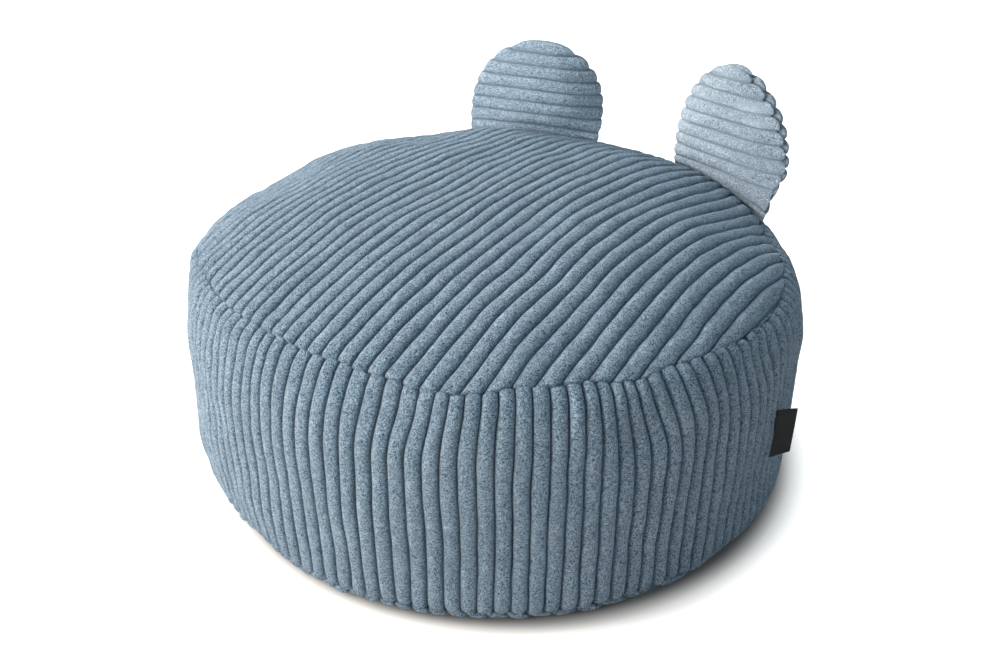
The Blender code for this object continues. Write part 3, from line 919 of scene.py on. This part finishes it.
def ear_panel(ear, face, cloth):
    """One panel of an ear; face is 1 for the outer panel and -1 for the inner."""
    tilt = math.radians(ear.rib_tilt)
    place = evenly(count=67, crowding=0.88)
    step = 0.001
    across, height, section = [], [], []
    for level, u in ear_lines(ear, face, tilt):
        start, stop = ear_chord(ear, tilt, level)
        lower_start, lower_stop = ear_chord(ear, tilt, level - step)
        notch = EAR_SCALLOP * (1 - rib_round(u))
        limit = 0.22 * (stop - start)
        start += min(notch * math.hypot(1, (start - lower_start) / step), limit)
        stop -= min(notch * math.hypot(1, (stop - lower_stop) / step), limit)
        aside, up = ear_place(tilt, start + (stop - start) * place, level)
        across.append(aside)
        height.append(up)
        section.append(u)
    across, height, section = np.array(across), np.array(height), np.array(section)
    height -= EAR_BOW * (across / ear.half_width) ** 2
    middle, outward = ear_middle(ear, across, height)
    backs = middle + outward * face * EAR_RIM_GAP
    thick = ear_puff(ear, face, across, height)
    # the plush swells out past the seam at each rib's end
    rim, side_way, up_way = rim_distance(ear, across, height)
    swell = EAR_BEAD * (1 - np.exp(-rim / 0.0012)) * fade(rim, 0.008)
    swell *= np.array([rib_round(u) for u in section])[:, None] * smoothstep((height - ear.drop) / 0.010)
    middle, _ = ear_middle(ear, across + swell * side_way, height + swell * up_way)
    local = np.stack([across, height, face * thick], axis=-1)
    soft = smoothstep(thick / 0.010)
    lumps = soft * (0.0009 * ripple(local, 0.080, ear.seed) + 0.0003 * ripple(local, 0.030, ear.seed + 1))
    smooth = middle + outward * (face * (thick + lumps))[..., None]
    normal = grid_normals(smooth, wrap=False)
    normal *= np.sign((normal @ outward).sum()) * face
    gone = smoothstep((height + 0.002) / 0.006)
    share = rib_share(section[:, None], rim, EAR_RIB_END, EAR_RIB_FLATNESS)
    name = ear_piece(ear, face)
    pressed_highlight = np.zeros_like(share)
    for spot in PRESSED_HIGHLIGHTS:
        if spot.piece == name:
            aside, up = (across - spot.across) / spot.wide, (height - spot.up) / spot.high
            pressed_highlight += np.exp(-(aside**4) - up**4)
    deep = np.clip(thick / EAR_RELIEF_FROM, 0, 1) * (1 - 0.55 * pressed_highlight)
    move = (EAR_RIB_RISE - ear.relief * (1 - share)) * deep * gone
    smooth = smooth + normal * move[..., None]
    # a panel never crosses the middle sheet, where it meets the other one
    out_of_middle = ((smooth - middle) @ outward) * face
    short = np.maximum(EAR_RIM_GAP + EAR_TAIL_HALF * (1 - gone) - out_of_middle, 0)
    points = smooth + outward * (face * short)[..., None]
    rows, columns = across.shape
    start = rows * columns
    front = grid_faces(rows, columns, wrap=False)
    border = grid_border(rows, columns)
    faces = front + [tuple(start + i for i in f[::-1]) for f in front]
    faces += [(b, a, start + a, start + b) for a, b in zip(border, border[1:] + border[:1])]
    if face < 0:
        faces = [f[::-1] for f in faces]
    vertices = np.concatenate([points.reshape(-1, 3), backs.reshape(-1, 3)])
    lift_and_crease_shade = pile_lift_and_crease_shade(section[:, None], rim, EAR_RIB_FLATNESS)
    flank = rib_flank(section)[:, None] + 0 * lift_and_crease_shade
    # the hidden backs take the full painted valley shade
    hidden = np.zeros(start)
    lift_and_crease_shade, flank, pressed_highlight = (np.concatenate([values.ravel(), hidden]) for values in (lift_and_crease_shade, flank, pressed_highlight))
    piece = make_piece(name, vertices, faces, lift_and_crease_shade, flank, cloth, pressed_highlight=pressed_highlight)
    return piece


def rib_round(u):
    """A half circle across a rib: the outline of its end."""
    return math.sqrt(max(0.0, 1 - (2 * u - 1) ** 2))


def rim_distance(ear, across, height):
    """How far places on an ear lie from its rim, and which way out to the rim is."""
    levels = ear.height - (ear.height + 0.02) * np.linspace(0, 1, 900) ** 2
    widths = ear_half_width(ear, levels)
    apart = np.hypot(np.abs(across)[..., None] - widths, height[..., None] - levels)
    nearest = apart.argmin(axis=-1)
    aside, up = -np.gradient(levels), np.gradient(widths)
    length = np.hypot(aside, up)
    side_way = (aside / length)[nearest] * np.where(across < 0, -1, 1)
    return apart.min(axis=-1), side_way, (up / length)[nearest]


def ear_place(tilt, along, level):
    """Across and up an ear, from along a rib and across the ribs."""
    return along * math.cos(tilt) - level * math.sin(tilt), along * math.sin(tilt) + level * math.cos(tilt)


def ear_tip(ear, tilt):
    """The greatest distance across the ribs that is still on the ear."""
    height = np.linspace(ear.widest_at, ear.height, 2000)
    width = ear_half_width(ear, height)
    return float(np.max(height * math.cos(tilt) + width * abs(math.sin(tilt))))


def ear_chord(ear, tilt, level):
    """Where a line along a rib enters and leaves the ear's outline."""
    along = np.linspace(-0.10, 0.10, 2001)
    across, height = ear_place(tilt, along, level)
    inside = (height >= -EAR_TAIL) & (height <= ear.height) & (np.abs(across) <= ear_half_width(ear, height))
    spots = along[inside] if inside.any() else (-1e-4, 1e-4)
    return spots[0], spots[-1]


# -------------------------------- label


class Strip(NamedTuple):
    """The label's run out of the band, in metres."""

    out: float
    low_rise: float
    high_rise: float
    back: float


LABEL_LOW = 0.0655
LABEL_HIGH = 0.1100
LABEL_RADIUS = 0.2592
LABEL_THICKNESS = 0.0011  # both layers
LABEL_GAP = 0.0001  # between them
LABEL_WAVE = 0.0006
LABEL_STRIPS = table(
    Strip,
    (0.0000, 0.0000, 0.0000, 0.0000),
    (0.0035, 0.0024, 0.0014, 0.0002),
    (0.0075, 0.0058, 0.0034, 0.0006),
    (0.0115, 0.0090, 0.0054, 0.0007),
    (0.0140, 0.0112, 0.0066, 0.0004),
    (0.0150, 0.0120, 0.0071, 0.0002),
)


def label():
    """A tape folded in two: one closed sheet that runs out along the near side, round the fold and back."""
    levels = np.linspace(0, 1, 25)
    outs, low_rises, high_rises, backs = np.array(LABEL_STRIPS).T
    half = LABEL_THICKNESS / 2
    straight = np.linspace(0, outs[-1] - half, 19)
    turn = np.linspace(0, math.pi, 11)[1:-1]
    loop = []
    for radius in (half, LABEL_GAP / 2):
        out = np.concatenate([straight, straight[-1] + radius * np.sin(turn), straight[::-1]])
        aside = np.concatenate([0 * straight - radius, -radius * np.cos(turn), 0 * straight + radius])
        loop.append(np.stack([out, aside], axis=1))
    path = len(loop[0])
    out, aside = np.concatenate([loop[0], loop[1][::-1]]).T
    low = LABEL_LOW + np.interp(out, outs, low_rises)
    high = LABEL_HIGH + np.interp(out, outs, high_rises)
    height = low[None, :] + (high - low)[None, :] * levels[:, None]
    wave = LABEL_WAVE * np.sin(levels * 2.6 + 0.4)[:, None] * (out / outs[-1])[None, :]
    y = (np.interp(out, outs, backs) + aside)[None, :] + wave
    points = np.stack([LABEL_RADIUS + out[None, :] + 0 * height, y, height], axis=-1)
    rows, columns = height.shape
    faces = grid_faces(rows, columns, wrap=True)
    last = (rows - 1) * columns
    for i in range(path - 1):
        j = columns - 1 - i
        faces.append((i + 1, i, j, j - 1))
        faces.append((last + i, last + i + 1, last + j - 1, last + j))
    flat = np.ones(rows * columns)
    piece = make_piece("label", points.reshape(-1, 3), faces, flat, 0 * flat, TAPE)
    return piece


# -------------------------------- floor, light and camera

FLOOR_REACH = 9.0
SHADE_INNER, SHADE_OUTER = 0.240, 0.262  # the floor itself is dark only this near the shadow's middle
# painted contact shadow under the stool, then the open floor's own colour
PAINTED_CONTACT_SHADOW, OPEN_FLOOR = (0.19, 0.18, 0.17), (0.70, 0.665, 0.635)
SHADOW_INNER, SHADOW_OUTER = 0.240, 0.278  # the light on it comes in over this distance
SHADOW_MIDDLE = (0.014, -0.002)
FLOOR_GLOW = 0.85
BACKDROP_GLOW = 1.1


class Light(NamedTuple):
    """A round soft light aimed at the stool: where it hangs, in degrees, and its power in watts."""

    name: str
    azimuth: float
    elevation: float
    size: float
    power: float
    colour: tuple


WARM = (1.0, 0.955, 0.905)
COOL = (0.79, 0.92, 1.0)
LIGHT_DISTANCE = 2.2
LIGHT_TARGET = 0.1
LIGHTS = table(
    Light,
    ("rim", -120, 30, 0.9, 50, WARM),
    ("key", -50, 22, 0.9, 31, WARM),
    ("key_high", -50, 50, 0.9, 33, WARM),
    ("front", -22, 14, 0.9, 43, WARM),
    ("side", 60, 22, 0.9, 4.6, COOL),
    ("fill", 100, 35, 0.9, 9.6, COOL),
    ("back", 185, 45, 1.4, 12, COOL),
)
SKY = 0.07

CAMERA_PLACE = (0.4253, -0.6073, 0.5227)
CAMERA_PITCH, CAMERA_YAW, CAMERA_ROLL = 0.5285, 0.0053, 0.0035  # radians: down, past the middle, and tipped
SENSOR_WIDTH, LENS = 36.0, 34.41


def stage_piece(name, vertices, faces, material):
    mesh = bpy.data.meshes.new(name)
    mesh.from_pydata(vertices, [], faces)
    mesh.materials.append(material)
    made = add_object(name, mesh)
    return made


def only_seen(made):
    """Keeps a stage piece from lighting or shading anything."""
    made.visible_diffuse = made.visible_glossy = made.visible_shadow = False


def floor_sheet(name, material, drop):
    """A great square a little below the foot of the stool."""
    r = FLOOR_REACH
    sheet = stage_piece(name, [(-r, -r, 0), (r, -r, 0), (r, r, 0), (-r, r, 0)], [(0, 1, 2, 3)], material)
    sheet.location = (*SHADOW_MIDDLE, -drop)
    return sheet


def floor():
    """A pale matt floor with a painted contact shadow: its colour is darker under the stool, where little
    light gets in.
    """
    n = Nodes("pale_floor")
    colour = n.ramp(n.outwards(SHADE_INNER, SHADE_OUTER), ((0.0, PAINTED_CONTACT_SHADOW), (1.0, OPEN_FLOOR)))
    n.link(colour, n.shader.inputs["Base Color"])
    floor_sheet("floor", n.done(roughness=0.9), 0.0004)


def light_table():
    """A clear sheet that whitens the floor beyond the stool's own soft shadow, and lights nothing else."""
    n = Nodes("light_table")
    light = n.add("ShaderNodeEmission")
    n.link(n.outwards(SHADOW_INNER, SHADOW_OUTER, FLOOR_GLOW), light.inputs["Strength"])
    both = n.add("ShaderNodeAddShader")
    n.link(light.outputs[0], both.inputs[0])
    n.link(n.add("ShaderNodeBsdfTransparent").outputs[0], both.inputs[1])
    n.link(both.outputs[0], n.tree.nodes["Material Output"].inputs["Surface"])
    n.tree.nodes.remove(n.shader)
    only_seen(floor_sheet("light_table", n.material, 0.0002))


def backdrop():
    """A white wall all round, which gives no light of its own."""
    sides = 48
    white = Nodes("white_backdrop").done(
        base_color=(0, 0, 0, 1), emission_color=(1, 1, 1, 1), emission_strength=BACKDROP_GLOW
    )
    ring = on_circle(np.arange(sides) * 360.0 / sides, FLOOR_REACH * 0.95, 0.0)
    vertices = ring.tolist() + (ring + np.array([0, 0, FLOOR_REACH])).tolist()
    faces = [(i, (i + 1) % sides, sides + (i + 1) % sides, sides + i) for i in range(sides)]
    faces.append(tuple(range(sides, 2 * sides)))
    only_seen(stage_piece("backdrop", vertices, faces, white))


def studio():
    world = bpy.data.worlds.new("studio")
    world.use_nodes = True
    background = world.node_tree.nodes["Background"]
    background.inputs["Color"].default_value = (*COOL, 1)
    background.inputs["Strength"].default_value = SKY
    bpy.context.scene.world = world
    target = Vector((0, 0, LIGHT_TARGET))
    for light in LIGHTS:
        elevation = math.radians(light.elevation)
        reach, rise = LIGHT_DISTANCE * math.cos(elevation), LIGHT_DISTANCE * math.sin(elevation)
        data = bpy.data.lights.new(light.name, "AREA")
        data.shape = "DISK"
        data.size = light.size
        data.energy = light.power
        data.color = light.colour
        made = add_object(light.name, data)
        made.location = Vector(on_circle(np.float64(light.azimuth), reach, target.z + rise))
        made.rotation_euler = (target - made.location).to_track_quat("-Z", "Y").to_euler()
    bpy.context.scene.view_settings.view_transform = "Standard"


def camera():
    """A lens of about 34 mm at 0.52 m above the floor, aimed down at the stool from the front right."""
    pitch, yaw, roll = CAMERA_PITCH, CAMERA_YAW, CAMERA_ROLL
    forward = Vector((math.sin(yaw) * math.cos(pitch), math.cos(yaw) * math.cos(pitch), -math.sin(pitch)))
    right = Vector((math.cos(yaw), -math.sin(yaw), 0.0))
    up = right.cross(forward)
    tipped_right = right * math.cos(roll) + up * math.sin(roll)
    tipped_up = up * math.cos(roll) - right * math.sin(roll)
    turn = Matrix.Rotation(math.radians(CAMERA_AZIMUTH), 4, "Z")
    axes = Matrix((tipped_right, tipped_up, -forward)).transposed()
    data = bpy.data.cameras.new("camera")
    data.sensor_fit = "HORIZONTAL"
    data.sensor_width = SENSOR_WIDTH
    data.lens = LENS
    data.clip_start = 0.01
    data.clip_end = 50
    made = add_object("camera", data)
    made.matrix_world = Matrix.Translation(CAMERA_PLACE) @ turn @ axes.to_4x4()
    bpy.context.scene.camera = made


side_band()
top_panel()
base_panel()
for ear in EARS:
    # each ear's outer panel gets a darker copy of the pile: painted shade
    for face, nap_and_painted_light in ((1, OUTER_PANEL_SHADE * ear.nap_and_painted_light), (-1, ear.nap_and_painted_light)):
        ear_panel(ear, face, corduroy(f"corduroy_pile_{ear_piece(ear, face)}", nap_and_painted_light, ear.painted_sheen))
label()
floor()
light_table()
backdrop()
studio()
camera()
